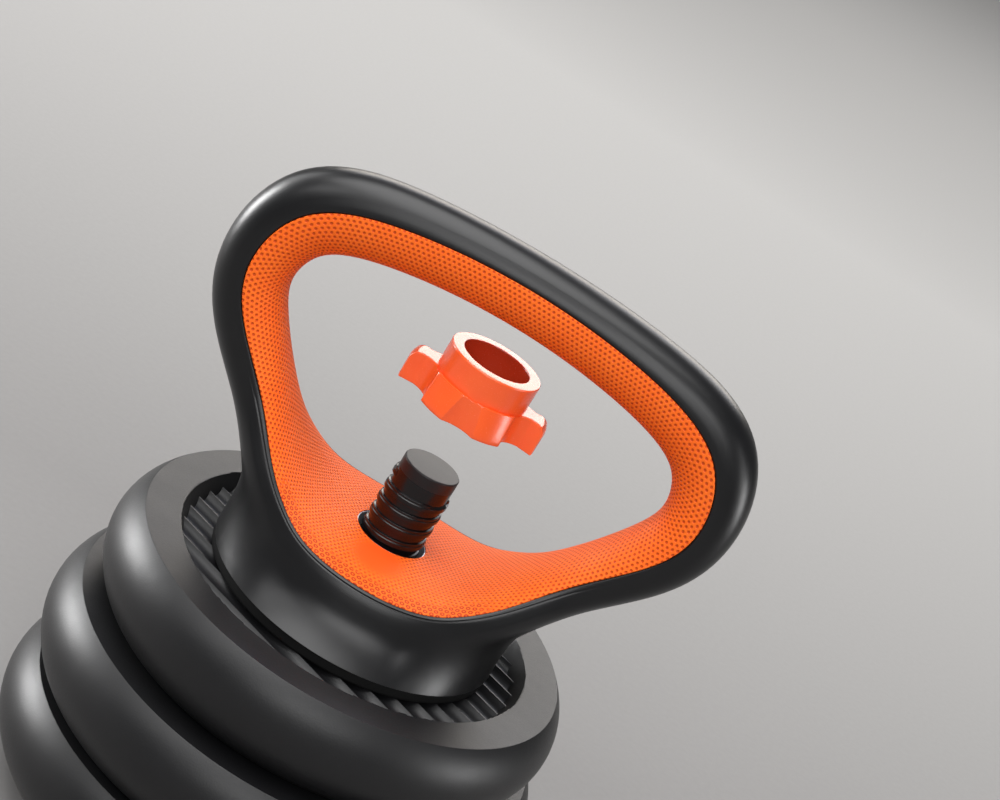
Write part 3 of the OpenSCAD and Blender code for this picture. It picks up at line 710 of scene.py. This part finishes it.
# %% Hollow, filler hole and the three plates
WALL, PLUG_X, PLUG_R = 3.2, 46.0, 11.0
HOLLOW_IN, LEDGE_R, LEDGE_Z, BOW_IN = 17.7, 85.4, 31, 9.5  # the hollow steps down under the recess
plate_mould, _ = moulded_skin("blow_moulded_black_polyethylene", ("#0d0d0f", "#131315"), roughness=0.43,
                              ior=1.46, grain_mm=0.8, grain_depth=0.03, wave_mm=14.0, wave_depth=0.12)
# radius of the rim, radius of the barrel side's centre, and plates below it
SIZES = {"plate_1": (98.0, 79.73, 2), "plate_2": (106.5, 88.23, 1), "plate_3": (106.5, 88.23, 0)}
for body_name, (rim_r, axis_r, below) in SIZES.items():
    low, high = [math.atan2(z - SIDE_Z, BOW_IN) for z in (WALL + 0.6, PLATE_T - WALL - 0.6)]
    bow = bowed(axis_r, SIDE_R - WALL, low, high, 15)
    hollow = [(HOLLOW_IN, WALL), (bow[0][0], WALL)] + bow[1:-1] + [
        (bow[-1][0], PLATE_T - WALL), (LEDGE_R, PLATE_T - WALL), (LEDGE_R, LEDGE_Z), (HOLLOW_IN, LEDGE_Z)]
    plate = carve(plate_body(rim_r, axis_r), spun(hollow))
    hole = bmesh.new()
    bmesh.ops.create_cone(hole, cap_ends=True, segments=48, radius1=PLUG_R, radius2=PLUG_R,
                          depth=2 * WALL + 1, matrix=Matrix.Translation((PLUG_X, 0, 0)))
    plate = carve(plate, hole)
    bmesh.ops.translate(plate, vec=(0, 0, FOOT_TOP + below * PLATE_T), verts=plate.verts)
    number = body_name[-1]
    make_piece(plate, "weight_plate_" + number, body_name, ["plate_shell_" + number], plate_mould,
               crease=25)
recess.free()

# %% [markdown]
# ## The threaded rod
# A black plastic sleeve with a coarse thread covers the steel core. The thread is one ridge: its
# outline is spun while each step also climbs, which is how a screw surface is defined. The crest has
# tiny bevels that catch the light, and a bevelled cap closes the end. The sleeve is acetal, a hard
# slippery plastic for threads, from a smooth mould, so it has the sharpest gloss of the black parts.
# The cap is moulded in a rougher tool and looks greyer.

# %% Joining meshes and a thread's ridge
THREAD_PITCH, TURN_STEPS = 6.6, 48


def join(bm, other):
    """Adds another mesh to a mesh."""
    mesh = bpy.data.meshes.new("joined")
    other.to_mesh(mesh)
    other.free()
    bm.from_mesh(mesh)
    bpy.data.meshes.remove(mesh)
    return bm


def thread_ridge(section, start_z, start_turn, steps):
    """A thread's ridge: a section of (radius, height) that climbs as it spins round Z."""
    ridge = bmesh.new()
    line = [ridge.verts.new((r * math.cos(start_turn), r * math.sin(start_turn), z + start_z))
            for r, z in section]
    ring_edges = [ridge.edges.new((line[i - 1], line[i])) for i in range(len(line))]
    bmesh.ops.spin(ridge, geom=line + ring_edges, axis=(0, 0, 1), cent=(0, 0, 0),
                   dvec=(0, 0, THREAD_PITCH / TURN_STEPS), angle=math.tau * steps / TURN_STEPS,
                   steps=steps, use_merge=False)
    bmesh.ops.holes_fill(ridge, edges=[e for e in ridge.edges if e.is_boundary])
    bmesh.ops.recalc_face_normals(ridge, faces=ridge.faces)
    return ridge


print("thread climbs", THREAD_PITCH, "mm a turn")

# %% Sleeve, thread and cap
ROOT_R, CREST_R, CORE_R, SUNK_R = 12.7, 13.9, 8.01, 12.3
COLLAR_R, COLLAR_T = 22, 4
SLEEVE_LENGTH, THREAD_LENGTH, CAP_T, CAP_GAP = 191.6, 112, 5.4, 0.02
THREAD_INSET = 2.5  # plain sleeve at each end of the thread
FADE_FROM, FADE_OVER = 184, 36  # degrees: the ridge runs out on its last turn
cap_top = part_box("rod_cap")[1].z / MM
cap_z = cap_top - CAP_T
collar_z, thread_z = cap_z - SLEEVE_LENGTH, cap_z - THREAD_LENGTH
sleeve = spun(rounded([(CORE_R, collar_z, 0), (COLLAR_R, collar_z, 0.5), (COLLAR_R, collar_z + COLLAR_T, 0.8),
                       (CREST_R, collar_z + COLLAR_T, 0), (CREST_R, thread_z, 0.4),
                       (ROOT_R, thread_z, 0), (ROOT_R, cap_z, 0), (CORE_R, cap_z, 0)]))
section = rounded([(SUNK_R, -2.2, 0), (CREST_R, -1.7, 0.35), (CREST_R, 0.35, 0.25),
                   (CREST_R - 0.35, 0.7, 0), (CREST_R - 0.35, 1.7, 0.2), (SUNK_R, 2.2, 0)], 2)
start_z = thread_z + THREAD_INSET
ridge = thread_ridge(section, start_z, start_z / THREAD_PITCH * math.tau,
                     round((THREAD_LENGTH - 2 * THREAD_INSET) / THREAD_PITCH * TURN_STEPS))
for v in ridge.verts:
    turned = math.degrees(math.atan2(v.co.y, v.co.x)) % 360
    if v.co.z > cap_z - 6 and turned > FADE_FROM:
        r = v.co.xy.length
        v.co.xy *= (SUNK_R + (r - SUNK_R) * max(0, 1 - (turned - FADE_FROM) / FADE_OVER)) / r
print("ridge from", round(min(v.co.z for v in ridge.verts), 2), "to",
      round(max(v.co.z for v in ridge.verts), 2))

acetal, _ = moulded_skin("moulded_black_acetal", ("#0d0b0c", "#120f10"), roughness=0.22, ior=1.41,
                         grain_mm=0.5, grain_depth=0.006, wave_mm=6.0, wave_depth=0.03)
make_piece(join(sleeve, ridge), "threaded_sleeve", "foot", ["rod_sleeve"], acetal,
           crease=35)
cap = spun(rounded([(0, cap_z + CAP_GAP, 0), (ROOT_R, cap_z + CAP_GAP, 0), (ROOT_R, cap_top, 0.7),
                    (0, cap_top, 0)]))
cap_finish, _ = moulded_skin("moulded_black_cap", ("#141214", "#1a181a"), roughness=0.42, ior=1.42,
                             grain_mm=0.5, grain_depth=0.01, wave_mm=6.0, wave_depth=0.03)
make_piece(cap, "rod_end_cap", "foot", ["rod_cap"], cap_finish)

# %% [markdown]
# ## The star nut
# The nut is one orange moulding: a collar over a star with two long wings and four short lobes. Its
# outline is written as a reach for each direction: a disc, a bar of two wings over it, and scallops
# that bite in between. Rings of points at that outline, pulled in at the corners, then make a star
# with soft edges, sloping lobes and a groove under the collar. The inner thread is a second ridge,
# and a step in the underside holds a seal.

# %% Star outline
nut_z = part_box("star_nut")[0].z / MM
LOBE_R, WING_R, WING_HALF = 24.5, 32.0, 6.5
# direction, radius and distance from the axis of each scallop: two wide ones, four at the wings
SCALLOPS = [(90, 12.0, 33.2), (270, 12.0, 33.2)] + [(turn, 8.8, 29.9) for turn in (27, -27, 207, 153)]
FINE_CORNERS, STAR_CORNERS = 2880, 480
around = np.linspace(0, math.tau, FINE_CORNERS, endpoint=False)
rise = np.abs(np.sin(around))
reach = np.where(rise * LOBE_R < WING_HALF,
                 np.minimum(WING_R, WING_HALF / np.maximum(rise, 1e-3)), LOBE_R)
for turn, hollow_r, hollow_at in SCALLOPS:
    off = around - math.radians(turn)
    inside = hollow_r ** 2 - (hollow_at * np.sin(off)) ** 2
    near = hollow_at * np.cos(off) - np.sqrt(np.maximum(inside, 0))
    beyond = hollow_at * np.cos(off) + np.sqrt(np.maximum(inside, 0))
    hit = (inside > 0) & (np.cos(off) > 0) & (near < reach) & (reach < beyond)
    reach = np.where(hit, near, reach)
outline = np.stack([reach * np.cos(around), reach * np.sin(around)], 1)
gaps = np.linalg.norm(np.roll(outline, -1, 0) - outline, axis=1)
run = np.concatenate([[0], np.cumsum(gaps)])
closed = np.concatenate([outline, outline[:1]])
evenly = np.linspace(0, run[-1], STAR_CORNERS, endpoint=False)
outline = np.stack([np.interp(evenly, run, closed[:, k]) for k in (0, 1)], 1)
outline = (np.roll(outline, 1, 0) + 2 * outline + np.roll(outline, -1, 0)) / 4  # softens the corners
tangent = np.roll(outline, -1, 0) - np.roll(outline, 1, 0)
normal = np.stack([tangent[:, 1], -tangent[:, 0]], 1) / np.linalg.norm(tangent, axis=1)[:, None]
print("star outline is", round(float(run[-1]), 1), "mm round")


# %% Star body
STAR_H, CORNER, WING_ROUND, STEP_R = 13.6, 0.5, 4.5, 18.3
SHOULDER_R, GROOVE_R, INNER_R, INNER_Z = 22.3, 21.3, 19.5, 2.0
LOBE_FALL, GROOVE_FALL = 5.4, 2.0  # mm down for each mm out past the shoulder, or in past the groove


def top_of(points):
    """Height of the star's top: wings level with a rounded end, lobes sloping down."""
    r = np.hypot(points[..., 0], points[..., 1])
    on_wing = np.abs(points[..., 1]) < WING_HALF + 0.2
    past_end = np.maximum(r - (WING_R - WING_ROUND), 0)
    end = STAR_H - WING_ROUND + np.sqrt(np.maximum(WING_ROUND ** 2 - past_end ** 2, 0))
    slant = (STAR_H - LOBE_FALL * np.maximum(r - SHOULDER_R, 0)
             - GROOVE_FALL * np.maximum(GROOVE_R - r, 0))
    return np.where(on_wing, end, slant)


def level_row(flat, height):
    """A ring of points at one height."""
    return np.column_stack([flat, np.full(STAR_CORNERS, height)])


around_axis = outline / np.linalg.norm(outline, axis=1)[:, None]
bend = np.linspace(0, math.pi / 2, 4)
inset = outline - normal * CORNER
rows = [level_row(around_axis * STEP_R * (1 - t) + inset * t, 0.0) for t in (0, 0.5)]
rows += [level_row(outline - normal * CORNER * (1 - math.sin(a)), CORNER * (1 - math.cos(a))) for a in bend]
for a in bend:
    pulled_in = outline - normal * CORNER * (1 - math.cos(a))
    rows.append(np.column_stack([pulled_in, top_of(pulled_in) - CORNER * (1 - math.sin(a))]))
shoulder, groove = [around_axis * np.minimum(np.linalg.norm(inset, axis=1), r)[:, None]
                    for r in (SHOULDER_R, GROOVE_R)]
inner_ring = around_axis * INNER_R
for start, end, steps in ((inset, shoulder, 8), (shoulder, groove, 1), (groove, inner_ring, 2)):
    for t in np.linspace(0, 1, steps + 1)[1:]:
        flat = start * (1 - t) + end * t
        rows.append(np.column_stack([flat, top_of(flat)]))
rows.append(level_row(inner_ring, INNER_Z))
star = closed_skin(np.stack(rows, 1))
print("star:", len(star.faces), "faces")


# %% Collar, bores and inner thread
NUT_H, NECK_OUT, THREAD_R, SMOOTH_R, RIDGE_R = 25.6, 20.5, 14.25, 15.0, 13.05
STEP_Z, THREAD_TOP = 2.5, 14.6  # the seal's step, and where the thread gives way to a smooth bore
RIDGE_UP, RIDGE_SPARE = 2.2, 4.7  # thread left out at its start, and in all
collar = spun(rounded([(STEP_R, 0.1, 0), (NECK_OUT, 0.1, 0), (NECK_OUT, NUT_H, 0.7), (SMOOTH_R, NUT_H, 0.5),
                       (SMOOTH_R, THREAD_TOP, 0), (THREAD_R, THREAD_TOP, 0), (THREAD_R, STEP_Z, 0),
                       (STEP_R, STEP_Z, 0)]))
star = join(star, collar)
bmesh.ops.translate(star, vec=(0, 0, nut_z), verts=star.verts)
start_z = nut_z + RIDGE_UP + STEP_Z
section = [(THREAD_R + 0.4, -1.25), (RIDGE_R, -0.75), (RIDGE_R, 0.75), (THREAD_R + 0.4, 1.25)]
# half a pitch off the rod's ridge, so that each runs in the other's groove
ridge = thread_ridge(section, start_z, (start_z - THREAD_PITCH / 2) / THREAD_PITCH * math.tau,
                     round((THREAD_TOP - STEP_Z - RIDGE_SPARE) / THREAD_PITCH * TURN_STEPS))
star = join(star, ridge)
print("nut:", len(star.faces), "faces")

# %% Finish: glossy orange nylon
# Moulded nylon with a bright pigment, from a polished tool: a thin glossy skin over a soft body, so
# it has a light coat. Near the axis the bore is painted a deeper, redder orange: painted shade for
# the dim bore, where light bounces from wall to wall.
BORE_SHADE_R, BORE_SHADE_END = 15.1, 15.6
orange_nylon, orange_shader = moulded_skin("moulded_orange_nylon", ("#fa5a24", "#fd6429"), roughness=0.24,
                                           ior=1.5, grain_mm=0.5, grain_depth=0.006, wave_mm=7.0,
                                           wave_depth=0.04)
orange_shader.inputs["Coat Weight"].default_value = 0.35
orange_shader.inputs["Coat Roughness"].default_value = 0.24
flat_spot = add_node(orange_nylon, "ShaderNodeVectorMath", {0: millimetres(orange_nylon), 1: (1, 1, 0)},
                     operation="MULTIPLY").outputs[0]
off_axis = add_node(orange_nylon, "ShaderNodeVectorMath", {0: flat_spot},
                    operation="LENGTH").outputs["Value"]
# Painted shade: the bore's colour turns a deeper red near the axis.
bore_shade_mask = add_node(orange_nylon, "ShaderNodeMapRange",
                   {0: off_axis, 1: BORE_SHADE_R, 2: BORE_SHADE_END, 3: 1.0, 4: 0.0}).outputs[0]
skin_tint = orange_shader.inputs["Base Color"].links[0].from_socket
bore_painted_shade = add_node(orange_nylon, "ShaderNodeMix", {0: bore_shade_mask, 6: skin_tint, 7: linear("#b93a1e")},
                     data_type="RGBA").outputs[2]
orange_nylon.node_tree.links.new(bore_painted_shade, orange_shader.inputs["Base Color"])
make_piece(star, "locking_star_nut", "nut", ["star_nut"], orange_nylon, crease=30)

# %% [markdown]
# ## Small rings and the foot
# Bush, seals, pads and the foot disc are turned or moulded rings, so each is one outline spun round
# the axis with its corners rounded. The outline is written corner by corner with a rounding for each.
# Zinc plate on turned steel is bright with fine rings from the lathe. Rubber from a blasted mould
# swallows nearly all light. Powder coat is baked paint, with a slight orange-peel waviness.

# %% Finishes: zinc, rubber and powder coat
def turned_metal(name, colour, metallic, stretch, ring_depth):
    """Metal off a lathe: noise drawn out to rings round Z, whose depth is in millimetres."""
    material, shader = new_finish(name)
    rings = add_node(material, "ShaderNodeVectorMath", {0: millimetres(material), 1: stretch},
                     operation="MULTIPLY").outputs[0]
    turning = add_node(material, "ShaderNodeTexNoise",
                       {"Vector": rings, "Scale": 1.0, "Detail": 3.0}).outputs[0]
    relief = add_node(material, "ShaderNodeBump", {"Height": turning, "Distance": ring_depth * MM})
    material.node_tree.links.new(relief.outputs[0], shader.inputs["Normal"])
    shader.inputs["Base Color"].default_value = linear(colour)
    shader.inputs["Metallic"].default_value = metallic
    return material, shader, turning


zinc, zinc_shader, turning = turned_metal("bright_zinc_plated_steel", "#d4d8e0", 0.6,
                                          (0.02, 0.02, 6.0), 0.01)
gloss = add_node(zinc, "ShaderNodeMapRange", {0: turning, 3: 0.22, 4: 0.36}).outputs[0]
zinc.node_tree.links.new(gloss, zinc_shader.inputs["Roughness"])
rubber, _ = moulded_skin("moulded_black_rubber", ("#070707", "#0b0b0b"), roughness=0.8, ior=1.3,
                         grain_mm=0.5, grain_depth=0.03, wave_mm=8.0, wave_depth=0.05)
painted, _ = moulded_skin("satin_black_powder_coat", ("#121214", "#19191b"), roughness=0.48, ior=1.5,
                          grain_mm=1.2, grain_depth=0.05, wave_mm=12.0, wave_depth=0.02)
print("finishes:", zinc.name, rubber.name, painted.name)

# %% Turned and moulded rings
FOOT_R, FOOT_PAD_T, SOCKET_R, SOCKET_Z = 75, 3, 22.05, 13
SCREW_R, WELL_R, WELL_Z = 4.5, 13, 9.5
BUSH_IN, LIP_IN, FLANGE_OUT, FLANGE_T = 16.14, 15.8, 22, 2.5
bush_lo, bush_hi = [v.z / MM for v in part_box("base_bush")]
seal_lo, seal_hi = [v.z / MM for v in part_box("nut_ring")]
RINGS = [
    ("threaded_bush", "bush", "base_bush", zinc, "zinc",
     [(LIP_IN, bush_lo, 0.3), (FLANGE_OUT, bush_lo, 0.3), (FLANGE_OUT, bush_lo + FLANGE_T, 0.3),
      (17, bush_lo + FLANGE_T, 0), (17, bush_hi, 0.25), (BUSH_IN, bush_hi, 0),
      (BUSH_IN, floor_z - 0.5, 0.1), (LIP_IN, floor_z - 0.5, 0.1)]),
    ("base_seal", "handle", "base_pad", rubber, "rubber",
     [(MOUTH_R, base_z - 5, 0.8), (66, base_z - 5, 1.2), (66, base_z, 0.6), (MOUTH_R, base_z, 0)]),
    ("nut_seal", "nut_seat", "nut_ring", rubber, "ring_rubber",
     [(14.8, seal_lo + 0.9, 0.3), (15.7, seal_lo + 0.9, 0.3), (18, seal_lo + 2.3, 0.3),
      (18, seal_hi, 0), (14.8, seal_hi, 0)]),
    ("floor_pad", "foot", "foot_pad", rubber, "rubber",
     [(55, 0, 0.6), (FOOT_R, 0, 0.8), (FOOT_R, FOOT_PAD_T, 0), (55, FOOT_PAD_T, 0)]),
    ("foot_plate", "foot", "foot_disc", painted, "foot_steel",
     [(SCREW_R, WELL_Z, 0), (WELL_R, WELL_Z, 0), (WELL_R, FOOT_PAD_T, 0.4), (FOOT_R, FOOT_PAD_T, 0.4),
      (FOOT_R, FOOT_TOP, 1.0), (SOCKET_R, FOOT_TOP, 0.4), (SOCKET_R, SOCKET_Z, 0), (SCREW_R, SOCKET_Z, 0)]),
]
for name, body_name, node, finish, slot, corners in RINGS:
    make_piece(spun(rounded(corners)), name, body_name, [node], finish)

# %% [markdown]
# ## Parts that stay as the CAD made them
# Core, screw, washer, filling and plugs are plain turned or cast shapes. Their meshes stay, and only
# their finish is made here. The core is bare turned steel, greyer than zinc and with coarser rings.
# The filling is cast cement, matt and sandy. The plugs are moulded in a dark grey plastic.

# %% Finishes for the CAD parts
steel, steel_shader, _ = turned_metal("turned_steel", "#9a9a9c", 1.0, (0.05, 0.05, 4.0), 0.02)
steel_shader.inputs["Roughness"].default_value = 0.38
cement, _ = moulded_skin("cast_cement", ("#7d7a74", "#96928b"), roughness=0.9, ior=1.5,
                         grain_mm=1.5, grain_depth=0.3, wave_mm=6.0, wave_depth=0.4)
plug_mould, _ = moulded_skin("moulded_grey_plug", ("#232326", "#2b2b2e"), roughness=0.5, ior=1.5,
                             grain_mm=0.6, grain_depth=0.02, wave_mm=5.0, wave_depth=0.04)
CARRIED = {"rod_core": steel, "foot_screw": zinc, "foot_washer": zinc}
for number in "123":
    CARRIED["plate_fill_" + number] = cement
    CARRIED["plate_plug_" + number] = plug_mould
for node, finish in CARRIED.items():
    for slot in frame["nodes"][node].material_slots:
        slot.material = finish
print("carried over:", sorted(CARRIED))

# %% [markdown]
# ## Floor and light
# A broad overhead light and a front fill give the soft shade. Two panels behind the object are only
# mirrored, not lit by: level black faces pick them up, and they part the recess from its rim. Two
# low panels at the sides, mirrored too, draw the soft lines down the arms, and four more lamps lift
# the sides and the far floor. The floor is plain studio paper whose colour is painted darker near the
# object and paler further away, a painted light falloff.

# %% Floor
FLOOR_HALF = 6  # metres
FALLOFF_FROM, FALLOFF_TO = 230.0, 1700.0  # millimetres behind the axis
floor = bmesh.new()
bmesh.ops.create_grid(floor, x_segments=1, y_segments=1, size=FLOOR_HALF)
mesh = bpy.data.meshes.new("studio_floor")
floor.to_mesh(mesh)
floor.free()
studio_floor = bpy.data.objects.new("studio_floor", mesh)
bpy.context.scene.collection.objects.link(studio_floor)
paper, paper_shader = new_finish("pale_studio_paper")
spot = millimetres(paper)
fibre = add_node(paper, "ShaderNodeTexNoise", {"Vector": spot, "Scale": 0.25, "Detail": 3.0}).outputs[0]
how_far = add_node(paper, "ShaderNodeVectorMath", {0: spot, 1: (0.0, 1.0, 0)},
                   operation="DOT_PRODUCT").outputs["Value"]
painted_falloff = add_node(paper, "ShaderNodeMapRange", {0: how_far, 1: FALLOFF_FROM, 2: FALLOFF_TO}).outputs[0]
# Painted light falloff: the paper's colour runs from a dark grey near the object to a pale one far behind.
near_painted_shade, far_painted_light = [
    add_node(paper, "ShaderNodeMix", {0: fibre, 6: linear(low), 7: linear(high)}, data_type="RGBA").outputs[2]
    for low, high in (("#8c8a89", "#92908f"), ("#dbd9d6", "#e0dedc"))]
paper_tint = add_node(paper, "ShaderNodeMix", {0: painted_falloff, 6: near_painted_shade, 7: far_painted_light},
                      data_type="RGBA").outputs[2]
paper.node_tree.links.new(paper_tint, paper_shader.inputs["Base Color"])
paper_shader.inputs["Roughness"].default_value = 0.9
paper_shader.inputs["Specular IOR Level"].default_value = 0.2
mesh.materials.append(paper)
print("floor of", 2 * FLOOR_HALF, "m")

# %% Lights
def softbox(name, at, aim, size, strength, colour="#ffffff", mirrored_only=False):
    """A rectangular lamp that faces a point. Its strength is the radiance of its face."""
    lamp = bpy.data.lights.new(name, "AREA")
    lamp.shape, lamp.size, lamp.size_y = "RECTANGLE", size[0], size[1]
    lamp.energy = strength * size[0] * size[1] * math.pi
    lamp.color = linear(colour)[:3]
    holder = bpy.data.objects.new(name, lamp)
    bpy.context.scene.collection.objects.link(holder)
    facing = (Vector(aim) - Vector(at)).to_track_quat("-Z", "Y")
    holder.matrix_world = Matrix.Translation(at) @ facing.to_matrix().to_4x4()
    holder.visible_camera = False
    holder.visible_diffuse = not mirrored_only


MIDDLE = (0, 0, 0.2)  # of the object, which most lamps face
WORLD_STRENGTH = 0.12
softbox("overhead", (-0.5, -0.3, 2.3), MIDDLE, (2.2, 1.8), 5.1)
softbox("back_panel", (0.0, 4.0, 1.5), MIDDLE, (3.4, 0.9), 6.0, "#fff8ee", mirrored_only=True)
softbox("back_panel_high", (0.0, 4.0, 2.5), MIDDLE, (4.5, 0.8), 1.1, "#ccd6ff", mirrored_only=True)
softbox("left_back", (-2.0, 1.1, 1.1), MIDDLE, (1.0, 1.4), 3.0)
softbox("left_low", (-1.6, 0.45, 0.3), (-0.06, -0.03, 0.17), (0.5, 0.6), 32.0, mirrored_only=True)
softbox("left_front", (-1.3, -1.2, 1.5), MIDDLE, (0.9, 0.7), 3.5)
softbox("front_fill", (0.3, -2.2, 1.55), MIDDLE, (1.8, 1.2), 4.7)
softbox("right_low", (1.7, -0.15, 0.3), (0.05, -0.04, 0.16), (0.5, 0.5), 12.0, mirrored_only=True)
softbox("far_fill", (1.1, 3.3, 2.5), (1.0, 3.3, 0), (2.0, 1.6), 2.4)
softbox("right_side", (1.6, -0.5, 0.7), MIDDLE, (0.4, 1.0), 2.0)
world = bpy.data.worlds.new("studio_air")
world.use_nodes = True
world.node_tree.nodes["Background"].inputs[0].default_value = linear("#ffffff")
world.node_tree.nodes["Background"].inputs[1].default_value = WORLD_STRENGTH
bpy.context.scene.world = world
print("lights set")
